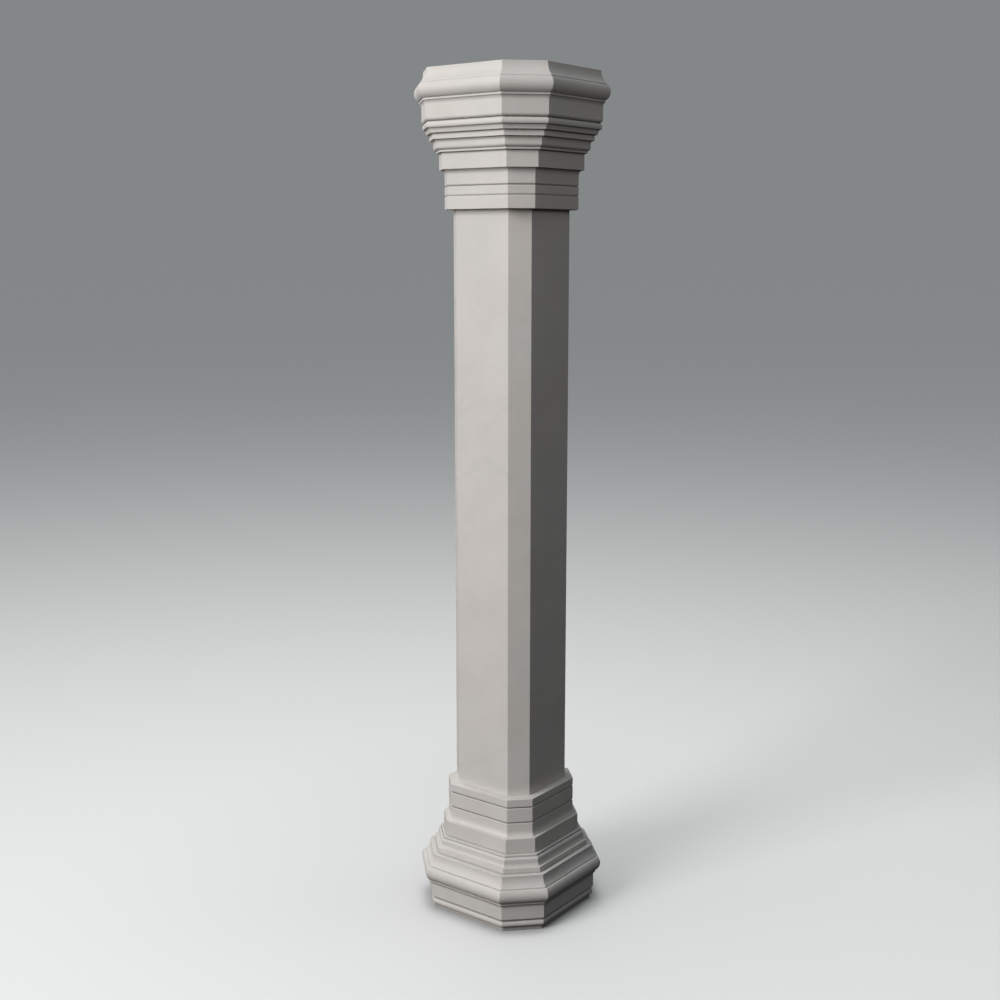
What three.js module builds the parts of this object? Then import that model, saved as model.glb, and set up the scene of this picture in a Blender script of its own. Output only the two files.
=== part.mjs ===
import * as THREE from 'three';

// A marble column of three stones: a moulded base, a plain shaft and a moulded capital.
// Millimetres, +Z up, origin in the middle of the underside.
// The plan is a square with its corners cut off, so four main faces alternate with four corner faces.

// Whole column
const columnHeight = 2700;
const shaftWidth = 302;
const jointGap = 0.3;

// How much further from the axis the corner faces stand than the main faces
const shaftCornerReach = 26.5;
const mouldingCornerReach = 30.5;

// How far each moulding stands out beyond the main faces of the shaft
const neckOut = 23;
const flareOut = 29.5;
const collarOut = 39;
const filletOut = 48.5;
const ogeeRootOut = 50;
const ogeeFaceOut = 56.5;
const ogeeLipOut = 60.5;
const stepOut = 68;
const covedBandOut = 77;
const covedLipOut = 81.5;
const beadFootOut = 87;
const friezeOut = 91;
const friezeCoveOut = 96.3;
const listOut = 97.7;
const torusSeatOut = 99.8;
const torusShoulderOut = 104.2;
const crownFootOut = 102.5;
const crownTopOut = 84.5;
const coveFootOut = 98;
const coveTopOut = 85;
const footOut = 78.5;

// Heights of mouldings that the base and the capital share
const collarRise = 51;
const filletRise = 7;
const ogeeRootRise = 9;
const ogeeFaceRise = 11;
const ogeeLipRise = 10;
const stepRise = 18;
const beadRise = 20;
const friezeCoveRise = 12;
const listRise = 7;
const quirkRise = 3.5;
const grooveRise = 6;
const grooveFloorRise = 1.5;

// Heights that only the base has
const footRise = 18;
const baseFriezeRise = 58.5;
const baseTorusRise = 46;
const baseCoveRise = 37.5;
const baseFlareRise = 19;
const baseBellRise = 25.5;
const baseTallNeckRise = 45;
const baseShortNeckRise = 24.5;
const ledgeRise = 2.5;

// Heights that only the capital has
const capitalTallNeckRise = 38.5;
const capitalShortNeckRise = 23.5;
const capitalBellRise = 28;
const capitalFlareRise = 17;
const covedBandRise = 15;
const capitalFriezeRise = 60;
const capitalTorusRise = 45;
const crownRise = 40.5;

// Depths of curves and grooves
const torusBulge = 10.5;
const beadBulge = 4.3;
const ogeeBulge = 1.6;
const flareHollow = 1.8;
const lipHollow = 0.6;
const friezeHollow = 1.2;
const crownHollow = 5.2;
const coveHollow = 4.4;
const friezeEdgeRadius = 9;
const quirkDepth = 1.5;
const fineGrooveDepth = 3;
const deepGrooveDepth = 4;

// How many straight pieces each curve is drawn in
const wideCurveSteps = 14;
const smallCurveSteps = 6;

const marble = { color: 0xd0cbc2, roughness: 0.55, metalness: 0 };

const shaftReach = shaftWidth / 2;
const sidesInPlan = 8;
const quarterTurn = Math.PI / 2;
const axis = new THREE.Vector2();

// How far a quarter circle stands out past its chord, as a share of its radius
const quarterCircleBulge = 1 - Math.SQRT1_2;

// An outline runs from the bottom of a stone to its top. x is the reach to the main faces, y the height.
function startOutline() {
  return { points: [], height: 0 };
}

function addPoint(outline, out, rise) {
  outline.height += rise;
  outline.points.push(new THREE.Vector2(shaftReach + out, outline.height));
}

// An upright band
function addBand(outline, out, rise) {
  addPoint(outline, out, 0);
  addPoint(outline, out, rise);
}

// An arc from one reach to another. It stands out past its chord by bulge, or is hollow if that is negative.
function addArc(outline, firstOut, lastOut, rise, bulge, steps) {
  const start = new THREE.Vector2(shaftReach + firstOut, outline.height);
  const end = new THREE.Vector2(shaftReach + lastOut, outline.height + rise);
  const chord = new THREE.Vector2().subVectors(end, start);
  const outward = new THREE.Vector2(chord.y, -chord.x).normalize();
  const halfChord = chord.length() / 2;
  const radius = (halfChord ** 2 + bulge ** 2) / (2 * bulge);
  const centre = new THREE.Vector2().addVectors(start, end).divideScalar(2);
  centre.addScaledVector(outward, bulge - radius);
  const halfAngle = 2 * Math.atan(bulge / halfChord);
  outline.points.push(start);
  for (let step = 1; step < steps; step += 1) {
    const turn = halfAngle * (2 * step / steps - 1);
    const spoke = outward.clone().rotateAround(axis, turn);
    outline.points.push(centre.clone().addScaledVector(spoke, radius));
  }
  outline.points.push(end);
  outline.height = end.y;
}

// A groove cut into a face, with a steep slope up to its lower edge and a long slope to its upper one
function addGroove(outline, faceOut, depth) {
  addPoint(outline, faceOut - depth, grooveFloorRise);
  addPoint(outline, faceOut, grooveRise - grooveFloorRise);
}

// The fillet, the ogee above it and the step on top, as the capital has them
function addOgeeRun(outline) {
  addBand(outline, filletOut, filletRise);
  addArc(outline, ogeeRootOut, ogeeFaceOut, ogeeRootRise, ogeeBulge, smallCurveSteps);
  addBand(outline, ogeeFaceOut, ogeeFaceRise);
  addArc(outline, ogeeFaceOut, ogeeLipOut, ogeeLipRise, -lipHollow, smallCurveSteps);
  addBand(outline, stepOut, stepRise);
}

// The same run the other way up, as the base has it
function addOgeeRunTurned(outline) {
  const run = startOutline();
  addOgeeRun(run);
  outline.height += run.height;
  for (const point of run.points.toReversed()) {
    outline.points.push(new THREE.Vector2(point.x, outline.height - point.y));
  }
}

// The bead, the frieze with its rounded lower edge, the list, the torus and the quirk above it
function addFriezeRun(outline, friezeRise, torusRise, faceAboveOut) {
  const creaseOut = friezeOut - friezeEdgeRadius;
  const edgeBulge = friezeEdgeRadius * quarterCircleBulge;
  addArc(outline, beadFootOut, creaseOut, beadRise, beadBulge, smallCurveSteps);
  addArc(outline, creaseOut, friezeOut, friezeEdgeRadius, edgeBulge, smallCurveSteps);
  addBand(outline, friezeOut, friezeRise - friezeEdgeRadius - friezeCoveRise);
  addArc(outline, friezeOut, friezeCoveOut, friezeCoveRise, -friezeHollow, smallCurveSteps);
  addBand(outline, listOut, listRise);
  addArc(outline, torusSeatOut, torusShoulderOut, torusRise, torusBulge, wideCurveSteps);
  addBand(outline, faceAboveOut - quirkDepth, quirkRise);
}

function baseOutline() {
  const outline = startOutline();
  addBand(outline, footOut, footRise);
  addFriezeRun(outline, baseFriezeRise, baseTorusRise, coveFootOut);
  addArc(outline, coveFootOut, coveTopOut, baseCoveRise, -coveHollow, wideCurveSteps);
  addOgeeRunTurned(outline);
  addBand(outline, collarOut, collarRise);
  addArc(outline, flareOut, neckOut, baseFlareRise, -flareHollow, smallCurveSteps);
  addBand(outline, neckOut, baseBellRise);
  addGroove(outline, neckOut, deepGrooveDepth);
  addBand(outline, neckOut, baseTallNeckRise);
  addGroove(outline, neckOut, deepGrooveDepth);
  addBand(outline, neckOut, baseShortNeckRise);
  addPoint(outline, 0, ledgeRise);
  return outline;
}

function capitalOutline() {
  const outline = startOutline();
  addBand(outline, neckOut, capitalTallNeckRise);
  addGroove(outline, neckOut, fineGrooveDepth);
  addBand(outline, neckOut, capitalShortNeckRise);
  addGroove(outline, neckOut, deepGrooveDepth);
  addBand(outline, neckOut, capitalBellRise);
  addArc(outline, neckOut, flareOut, capitalFlareRise, -flareHollow, smallCurveSteps);
  addBand(outline, collarOut, collarRise);
  addOgeeRun(outline);
  addArc(outline, covedBandOut, covedLipOut, covedBandRise, -lipHollow, smallCurveSteps);
  addFriezeRun(outline, capitalFriezeRise, capitalTorusRise, crownFootOut);
  addArc(outline, crownFootOut, crownTopOut, crownRise, -crownHollow, wideCurveSteps);
  return outline;
}

function shaftOutline(rise) {
  const outline = startOutline();
  addBand(outline, 0, rise);
  return outline;
}

// Carries an outline round the axis along the straight sides of the plan, mitred where they meet.
function mitredSolid(outline, cornerReach) {
  const rings = outline.points.filter((point, index, all) => index === 0 || !point.equals(all[index - 1]));
  const lowest = new THREE.Vector2(0, rings[0].y);
  const highest = new THREE.Vector2(0, rings.at(-1).y);
  const section = [lowest, ...rings, highest];
  const geometry = new THREE.LatheGeometry(section, sidesInPlan);
  const place = geometry.getAttribute('position');
  for (let side = 0; side <= sidesInPlan; side += 1) {
    const quarter = Math.floor((side % sidesInPlan) / 2) * quarterTurn;
    section.forEach((point, index) => {
      const reach = point.x;
      const halfFace = reach > 0 ? (reach + cornerReach) * Math.SQRT2 - reach : 0;
      const corner = new THREE.Vector2(reach, side % 2 === 0 ? -halfFace : halfFace);
      corner.rotateAround(axis, quarter);
      place.setXYZ(side * section.length + index, corner.x, corner.y, point.y);
    });
  }
  geometry.computeVertexNormals();
  return geometry;
}

function stone(name, outline, cornerReach, floor) {
  const mesh = new THREE.Mesh(mitredSolid(outline, cornerReach), new THREE.MeshStandardMaterial(marble));
  mesh.name = name;
  mesh.position.z = floor;
  return mesh;
}

const base = baseOutline();
const capital = capitalOutline();
const capitalFloor = columnHeight - capital.height;
const shaftFloor = base.height + jointGap;
const shaft = shaftOutline(capitalFloor - jointGap - shaftFloor);

const group = new THREE.Group();
group.name = 'marble_column';
group.add(stone('base', base, mouldingCornerReach, 0));
group.add(stone('shaft', shaft, shaftCornerReach, shaftFloor));
group.add(stone('capital', capital, mouldingCornerReach, capitalFloor));

export default group;
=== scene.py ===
import math

import bmesh
import bpy
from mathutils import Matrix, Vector


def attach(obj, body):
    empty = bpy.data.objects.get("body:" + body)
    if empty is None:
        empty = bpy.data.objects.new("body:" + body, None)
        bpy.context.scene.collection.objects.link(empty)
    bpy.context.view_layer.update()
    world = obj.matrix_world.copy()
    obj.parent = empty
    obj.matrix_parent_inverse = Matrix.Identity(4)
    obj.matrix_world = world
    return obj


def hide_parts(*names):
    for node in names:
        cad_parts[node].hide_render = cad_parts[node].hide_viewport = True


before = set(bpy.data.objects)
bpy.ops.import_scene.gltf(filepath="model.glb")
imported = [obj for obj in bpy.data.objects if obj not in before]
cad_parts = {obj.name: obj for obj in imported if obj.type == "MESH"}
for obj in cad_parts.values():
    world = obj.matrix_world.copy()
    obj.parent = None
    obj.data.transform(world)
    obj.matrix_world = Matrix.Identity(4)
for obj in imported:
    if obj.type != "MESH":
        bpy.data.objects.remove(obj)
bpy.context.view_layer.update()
print("column loaded:", ", ".join(sorted(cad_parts)))


# Camera

viewpoint = {
    "place": (-3.5413, -2.6357, 2.178),
    "heading": -52.878,  # degrees round from looking along +Y
    "dip": 10.434,       # degrees below level
    "lens": 49.94, "sensor": 36,
    "seesUpTo": 500,
}


def makeCamera(view):
    camera = bpy.data.objects.new("camera", bpy.data.cameras.new("camera"))
    bpy.context.collection.objects.link(camera)
    camera.location = view["place"]
    camera.rotation_euler = (math.radians(90 - view["dip"]), 0, math.radians(view["heading"]))
    camera.data.lens = view["lens"]
    camera.data.sensor_width = view["sensor"]
    camera.data.clip_end = view["seesUpTo"]
    bpy.context.scene.camera = camera


makeCamera(viewpoint)
print("camera placed")


# Nodes of the materials and of the air

def newMaterial(name):
    material = bpy.data.materials.new(name)
    material.use_nodes = True
    tree = material.node_tree
    return material, tree, tree.nodes["Principled BSDF"]


def feed(tree, socket, value):
    # Another node's output is linked, and a fixed value is set on the socket itself
    if isinstance(value, bpy.types.NodeSocket):
        tree.links.new(value, socket)
    else:
        socket.default_value = value


def addNode(tree, kind, settings=None, **inputs):
    node = tree.nodes.new(kind)
    for key, value in (settings or {}).items():
        setattr(node, key, value)
    for key, value in inputs.items():
        feed(tree, node.inputs[key.replace("_", " ")], value)
    return node


def addNoise(tree, vector, size, detail, roughness=0.55, distortion=0.0):
    node = addNode(tree, "ShaderNodeTexNoise", Vector=vector, Scale=1 / size, Detail=detail,
                   Roughness=roughness, Distortion=distortion)
    return node.outputs["Fac"]


def addRange(tree, value, ends, first=0.0, last=1.0):
    # Runs smoothly from first to last while the value runs from one end to the other
    node = addNode(tree, "ShaderNodeMapRange", {"interpolation_type": "SMOOTHSTEP"}, Value=value,
                   From_Min=ends[0], From_Max=ends[1], To_Min=first, To_Max=last)
    return node.outputs["Result"]


def addMath(tree, operation, first, second=0.0):
    node = addNode(tree, "ShaderNodeMath", {"operation": operation})
    feed(tree, node.inputs[0], first)
    feed(tree, node.inputs[1], second)
    return node.outputs["Value"]


def mixColours(tree, amount, first, second):
    node = addNode(tree, "ShaderNodeMix", {"data_type": "RGBA"})
    feed(tree, node.inputs[0], amount)
    for socket, colour in ((node.inputs[6], first), (node.inputs[7], second)):
        feed(tree, socket, (*colour, 1) if isinstance(colour, tuple) else colour)
    return node.outputs[2]


def mixShaders(tree, amount, first, second):
    node = addNode(tree, "ShaderNodeMixShader")
    for socket, output in zip(node.inputs, (amount, first.outputs[0], second.outputs[0])):
        tree.links.new(output, socket)
    return node.outputs[0]


# Marble. Sizes are in metres of stone, because the patterns read Object coordinates.

marbleLook = {
    "warm": (0.726, 0.676, 0.635), "cool": (0.712, 0.675, 0.643),
    "warmCloud": (0.686, 0.637, 0.595), "coolCloud": (0.671, 0.639, 0.604),
    "cloudSize": 0.16, "cloudEnds": (0.36, 0.66),
    "tintSize": 0.34, "tintEnds": (0.4, 0.6),
    "sway": 0.12, "swaySize": 0.5,
    "veinColour": (0.42, 0.415, 0.39), "veinStrength": 0.13,
    "veinSize": 0.3, "veinWidth": 0.02, "veinStretch": (1, 0.35, 1),
    "veinPatchSize": 0.51, "veinPatchEnds": (0.5, 0.72),
    "crystalColour": (0.80, 0.79, 0.76), "crystalStrength": 0.16,
    "crystalSize": 0.0025, "crystalEnds": (0.35, 0.7),
    # Paler edges: partly bruised stone, partly a painted highlight
    "bruiseAndHighlightColour": (0.80, 0.785, 0.75), "bruiseAndHighlightStrength": 0.35,
    # Painted shade: a dark colour laid in the creases and along the bottom of the foot
    "paintedShadeColour": (0.12, 0.115, 0.105),
    "creaseShade": 0.75, "creaseReach": 0.012, "creaseEnds": (0.3, 0.85),  # from shut in to open
    # Painted shade along the bottom of the foot, fading out between these heights
    "footShade": 0.34, "footEnds": (0.016, 0.02),                          # heights above the floor
    "smoothest": 0.42, "dullest": 0.58, "rubbedSize": 0.12, "rubbedEnds": (0.3, 0.7),
    "rippleSize": 0.11, "rippleDepth": 0.0006, "grainDepth": 0.00006,
    "bend": 1.49, "shine": 0.4,
    "glow": 0.12, "glowDepth": 0.006, "glowTint": (1.0, 0.85, 0.7),
}


def cutBlock(tree, look, place):
    # Turns and shifts the pattern, so that each stone is cut from a block of its own
    turns = tuple(math.radians(turn) for turn in look["bedding"])
    node = addNode(tree, "ShaderNodeMapping", Vector=place, Location=look["cutFrom"], Rotation=turns)
    return node.outputs["Vector"]


def bendBeds(tree, look, block):
    sway = addNode(tree, "ShaderNodeTexNoise", Vector=block, Scale=1 / look["swaySize"], Detail=2.0)
    bent = addNode(tree, "ShaderNodeVectorMath", {"operation": "MULTIPLY_ADD"})
    for socket, value in zip(bent.inputs, (sway.outputs["Color"], (look["sway"],) * 3, block)):
        feed(tree, socket, value)
    return bent.outputs["Vector"]


def cloudedColour(tree, look, bent):
    # Pale stone with soft clouds, warmer in some places and greener in others
    clouds = addNoise(tree, bent, look["cloudSize"], detail=5.0, roughness=0.6)
    tint = addNoise(tree, bent, look["tintSize"], detail=3.0, roughness=0.5)
    tint = addRange(tree, tint, look["tintEnds"])
    pale = mixColours(tree, tint, look["warm"], look["cool"])
    shade = mixColours(tree, tint, look["warmCloud"], look["coolCloud"])
    return mixColours(tree, addRange(tree, clouds, look["cloudEnds"]), shade, pale)


def veinedColour(tree, look, block, bent, colour):
    # Thin grey veins that come and go, drawn out along the bedding
    drawnOut = addNode(tree, "ShaderNodeMapping", Vector=bent, Scale=look["veinStretch"])
    field = addNoise(tree, drawnOut.outputs["Vector"], look["veinSize"], detail=6.0, roughness=0.5,
                     distortion=0.6)
    fromVein = addMath(tree, "ABSOLUTE", addMath(tree, "SUBTRACT", field, 0.5))
    vein = addRange(tree, fromVein, (0.0, look["veinWidth"]), 1.0, 0.0)
    patches = addNoise(tree, block, look["veinPatchSize"], detail=2.0)
    amount = addMath(tree, "MULTIPLY", vein, addRange(tree, patches, look["veinPatchEnds"]))
    amount = addMath(tree, "MULTIPLY", amount, look["veinStrength"])
    return mixColours(tree, amount, colour, look["veinColour"])


def workedColour(tree, look, crystals, colour):
    # Crystals of the stone, and a paler colour along each worked edge, partly bruised stone and partly a
    # painted highlight
    sparkle = addRange(tree, crystals, look["crystalEnds"], 0.0, look["crystalStrength"])
    colour = mixColours(tree, sparkle, colour, look["crystalColour"])
    edge = addNode(tree, "ShaderNodeAttribute", {"attribute_name": "arris"}).outputs["Fac"]
    bruiseAndHighlight = addMath(tree, "MULTIPLY", edge, look["bruiseAndHighlightStrength"])
    return mixColours(tree, bruiseAndHighlight, colour, look["bruiseAndHighlightColour"])


def shadedColour(tree, look, place, colour):
    # Painted shade: the colour darkens in the creases, where the stone is shut in
    openness = addNode(tree, "ShaderNodeAmbientOcclusion", {"samples": 6, "only_local": True},
                       Distance=look["creaseReach"]).outputs["AO"]
    creaseShading = addRange(tree, openness, look["creaseEnds"], look["creaseShade"], 0.0)
    colour = mixColours(tree, creaseShading, colour, look["paintedShadeColour"])

    # Painted shade: the colour darkens along the bottom of the foot, which stands on the floor
    height = addNode(tree, "ShaderNodeSeparateXYZ", Vector=place).outputs["Z"]
    footShading = addRange(tree, height, look["footEnds"], look["footShade"], 0.0)
    return mixColours(tree, footShading, colour, look["paintedShadeColour"])


def makeMarble(look):
    material, tree, surface = newMaterial(look["name"])
    place = addNode(tree, "ShaderNodeTexCoord").outputs["Object"]
    block = cutBlock(tree, look, place)
    bent = bendBeds(tree, look, block)
    crystals = addNoise(tree, place, look["crystalSize"], detail=2.0, roughness=0.7)

    colour = cloudedColour(tree, look, bent)
    colour = veinedColour(tree, look, block, bent, colour)
    colour = workedColour(tree, look, crystals, colour)
    colour = shadedColour(tree, look, place, colour)

    # Honed, and rubbed smoother in some places
    rubbed = addNoise(tree, block, look["rubbedSize"], detail=4.0, roughness=0.6)
    dullness = addRange(tree, rubbed, look["rubbedEnds"], look["smoothest"], look["dullest"])

    # The mason's slight unevenness, and the grain on top of it
    unevenness = addNoise(tree, place, look["rippleSize"], detail=2.0, roughness=0.5)
    ripple = addNode(tree, "ShaderNodeBump", Height=unevenness, Distance=look["rippleDepth"], Strength=1.0)
    grain = addNode(tree, "ShaderNodeBump", Height=crystals, Distance=look["grainDepth"], Strength=1.0,
                    Normal=ripple.outputs["Normal"])

    for name, value in (("Base Color", colour), ("Roughness", dullness),
                        ("Normal", grain.outputs["Normal"]), ("IOR", look["bend"]),
                        ("Specular IOR Level", look["shine"]),
                        ("Subsurface Weight", look["glow"]), ("Subsurface Radius", look["glowTint"]),
                        ("Subsurface Scale", look["glowDepth"])):
        feed(tree, surface.inputs[name], value)
    return material


print("marble ready")


# Stones. Each is a merged copy of its solid, with its worked edges eased.

sameSpot = 1e-5      # metres
flatUpTo = 0.01      # radians between two parts of one flat face
mitreSpacing = 45    # degrees round the plan, one mitre in each
alongFace = math.sqrt(2) - 1  # how far a mitre goes along a face for each metre that the face goes out


def mitreOf(vert):
    return int(math.degrees(math.atan2(vert.co.y, vert.co.x)) % 360 // mitreSpacing)


def isUpright(edge):
    return mitreOf(edge.verts[0]) == mitreOf(edge.verts[1])


def copySolid(node):
    stone = bmesh.new()
    stone.from_mesh(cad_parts[node].data)
    bmesh.ops.remove_doubles(stone, verts=stone.verts, dist=sameSpot)
    return stone


def clearFlatFaces(stone):
    # The middle point of each bed goes, and so does each diagonal, which runs from one mitre
    # to the next and from one level or reach to another
    middles = [vert for vert in stone.verts if vert.co.to_2d().length < sameSpot]
    bmesh.ops.dissolve_verts(stone, verts=middles)

    def slants(edge):
        first, second = (vert.co for vert in edge.verts)
        return abs(first.z - second.z) > sameSpot or \
            abs(first.to_2d().length - second.to_2d().length) > sameSpot
    diagonals = [edge for edge in stone.edges
                 if edge.calc_face_angle(0) < flatUpTo and not isUpright(edge) and slants(edge)]
    bmesh.ops.dissolve_edges(stone, edges=diagonals, use_verts=False)


def closeQuirk(stone, quirk):
    # The quirk's two levels move out until they meet the face above it
    for vert in stone.verts:
        near, far = sorted((0, 1), key=lambda side: abs(vert.co[side]))
        if quirk["from"] < vert.co.z < quirk["to"] and abs(vert.co[far]) < quirk["within"]:
            for side, share in ((near, alongFace), (far, 1)):
                vert.co[side] += math.copysign(quirk["out"] * share, vert.co[side])
    bmesh.ops.remove_doubles(stone, verts=stone.verts, dist=sameSpot)


def easeArrises(stone, edges, settings):
    # Marks the eased strips too, so that the marble can pale along them, as bruised stone and as a painted
    # highlight
    eased = bmesh.ops.bevel(stone, geom=edges, offset=settings["arris"], offset_type="OFFSET",
                            affect="EDGES", segments=settings["rounds"], profile=0.5, material=-1,
                            clamp_overlap=False)
    strips = set(eased["faces"])
    mark = stone.verts.layers.float.new("arris")
    for vert in stone.verts:
        vert[mark] = float(bool(vert.link_faces) and all(face in strips for face in vert.link_faces))


def finishStone(stone, name, settings):
    for face in stone.faces:
        face.smooth = True
    for edge in stone.edges:
        edge.smooth = edge.calc_face_angle(0) < math.radians(settings["smoothUpTo"])
    mesh = bpy.data.meshes.new(name)
    stone.to_mesh(mesh)
    stone.free()
    mesh.materials.append(makeMarble({**marbleLook, **settings["marble"]}))
    piece = bpy.data.objects.new(name, mesh)
    bpy.context.collection.objects.link(piece)
    evenOut = piece.modifiers.new("flat faces stay flat", "WEIGHTED_NORMAL")
    evenOut.keep_sharp = True
    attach(piece, "root")
    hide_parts(settings["solid"])
    print(name, "made:", len(mesh.polygons), "faces")
    return piece


# Base and capital. Their edges are eased where they stand proud.

baseStone = {
    "solid": "base", "arris": 0.0012, "rounds": 3, "easeOver": 24, "smoothUpTo": 32,
    "quirk": {"from": 0.149, "to": 0.1535, "within": 0.248, "out": 0.0015},
    "marble": {"name": "base marble", "cutFrom": (0.4, 1.3, 0.2), "bedding": (0, 20, 35)},
}
capitalStone = {
    "solid": "capital", "arris": 0.0012, "rounds": 3, "easeOver": 24, "smoothUpTo": 32,
    "quirk": {"from": 2.655, "to": 2.66, "within": 0.253, "out": 0.0015},
    "marble": {"name": "capital marble", "cutFrom": (2.1, 0.2, 1.7), "bedding": (10, -25, 60)},
}


def makeMouldedStone(name, settings):
    stone = copySolid(settings["solid"])
    closeQuirk(stone, settings["quirk"])
    clearFlatFaces(stone)
    proud = [edge for edge in stone.edges
             if edge.is_convex and edge.calc_face_angle(0) > math.radians(settings["easeOver"])]
    easeArrises(stone, proud, settings)
    return finishStone(stone, name, settings)


stones = [makeMouldedStone("base_stone", baseStone), makeMouldedStone("capital_stone", capitalStone)]


# Shaft. Only its upright edges are eased, because its beds lie against the other stones.

shaftStone = {
    "solid": "shaft", "arris": 0.0015, "rounds": 3, "smoothUpTo": 32,
    "marble": {"name": "shaft marble", "cutFrom": (0.7, 0.9, 3.1), "bedding": (35, 25, 20)},
}


def makeShaft(name, settings):
    stone = copySolid(settings["solid"])
    clearFlatFaces(stone)
    easeArrises(stone, [edge for edge in stone.edges if isUpright(edge)], settings)
    return finishStone(stone, name, settings)


stones.append(makeShaft("shaft_stone", shaftStone))


# Floor

backColour = (0.2305, 0.242, 0.2465)
floorSheet = {
    "radius": 300, "sides": 96,
    "colour": (0.52, 0.52, 0.515), "roughness": 0.9, "shine": 0.0,
    "fadesOver": (40, 250),  # metres from the column
}


def makeFloor(settings):
    sheet = bmesh.new()
    bmesh.ops.create_circle(sheet, cap_ends=True, segments=settings["sides"], radius=settings["radius"])
    mesh = bpy.data.meshes.new("floor")
    sheet.to_mesh(mesh)
    sheet.free()
    material, tree, surface = newMaterial("floor")
    feed(tree, surface.inputs["Base Color"], (*settings["colour"], 1))
    feed(tree, surface.inputs["Roughness"], settings["roughness"])
    feed(tree, surface.inputs["Specular IOR Level"], settings["shine"])

    # Far off the floor turns into the plain back, so that no edge shows between them
    place = addNode(tree, "ShaderNodeTexCoord").outputs["Object"]
    distance = addNode(tree, "ShaderNodeVectorMath", {"operation": "LENGTH"}, Vector=place).outputs["Value"]
    back = addNode(tree, "ShaderNodeEmission", Color=(*backColour, 1))
    either = mixShaders(tree, addRange(tree, distance, settings["fadesOver"]), surface, back)
    tree.links.new(either, tree.nodes["Material Output"].inputs["Surface"])
    mesh.materials.append(material)
    floor = bpy.data.objects.new("floor", mesh)
    bpy.context.collection.objects.link(floor)
    floor.visible_diffuse = False  # the pale floor would light the mouldings from below
    floor.visible_glossy = False
    return floor


floor = makeFloor(floorSheet)
print("floor laid")


# Light

panels = {
    "key": {"place": (-7.6, 1.8, 5.3), "aim": (0, 0, 1.9), "size": (3.4, 6.4), "power": 660},
    "front": {"place": (-1.5, -3.0, 3.5), "aim": (0, 0, 2.5), "size": (1.6, 1.2), "power": 12.5},
    "rim": {"place": (1.9, 5.2, 3.4), "aim": (0, 0, 1.9), "size": (2.6, 3.2), "power": 165},
    "pool": {"place": (0, 0, 7.5), "aim": (0, 0, 0), "size": (4, 4), "power": 420},
}
floorLight = {"strength": 0.77, "spread": 80}  # the spread in degrees
airLook = {
    "overhead": (0.297, 0.331, 0.352), "below": (0.01, 0.01, 0.01),
    "brightensOver": (0.1, 1.0),  # from a little above level to straight up
}


def lightOnly(lamp, name, objects):
    lit = bpy.data.collections.new(name)
    for item in objects:
        lit.objects.link(item)
    lamp.light_linking.receiver_collection = lit


def placeLamp(name, light):
    lamp = bpy.data.objects.new(name, light)
    bpy.context.collection.objects.link(lamp)
    lamp.visible_camera = False
    lamp.visible_glossy = name == "key"  # the others would show in the far faces as a sheen
    return lamp


def addPanel(name, place, aim, size, power):
    light = bpy.data.lights.new(name, "AREA")
    light.shape = "RECTANGLE"
    light.size, light.size_y = size
    light.energy = power
    lamp = placeLamp(name, light)
    lamp.location = place
    lamp.rotation_euler = (Vector(aim) - Vector(place)).to_track_quat("-Z", "Y").to_euler()
    return lamp


def addFloorLight(strength, spread):
    light = bpy.data.lights.new("floor light", "SUN")
    light.energy = strength
    light.angle = math.radians(spread)
    return placeLamp("floor light", light)


def makeAir(settings):
    # Brighter above than below, with the plain back where the camera looks past the column
    world = bpy.data.worlds.new("air")
    world.use_nodes = True
    tree = world.node_tree
    air = tree.nodes["Background"]
    direction = addNode(tree, "ShaderNodeTexCoord").outputs["Generated"]
    height = addNode(tree, "ShaderNodeSeparateXYZ", Vector=direction).outputs["Z"]
    upward = addRange(tree, height, settings["brightensOver"])
    feed(tree, air.inputs["Color"], mixColours(tree, upward, settings["below"], settings["overhead"]))
    back = addNode(tree, "ShaderNodeBackground", Color=(*backColour, 1))
    seen = addNode(tree, "ShaderNodeLightPath").outputs["Is Camera Ray"]
    tree.links.new(mixShaders(tree, seen, air, back), tree.nodes["World Output"].inputs["Surface"])
    bpy.context.scene.world = world


addPanel("key", **panels["key"])
for lamp in ("front", "rim"):
    lightOnly(addPanel(lamp, **panels[lamp]), lamp + " on stones", stones)
lightOnly(addPanel("pool", **panels["pool"]), "pool on floor", [floor])
lightOnly(addFloorLight(**floorLight), "floor alone", [floor])
makeAir(airLook)
bpy.context.scene.view_settings.view_transform = "Standard"
print("lights on")
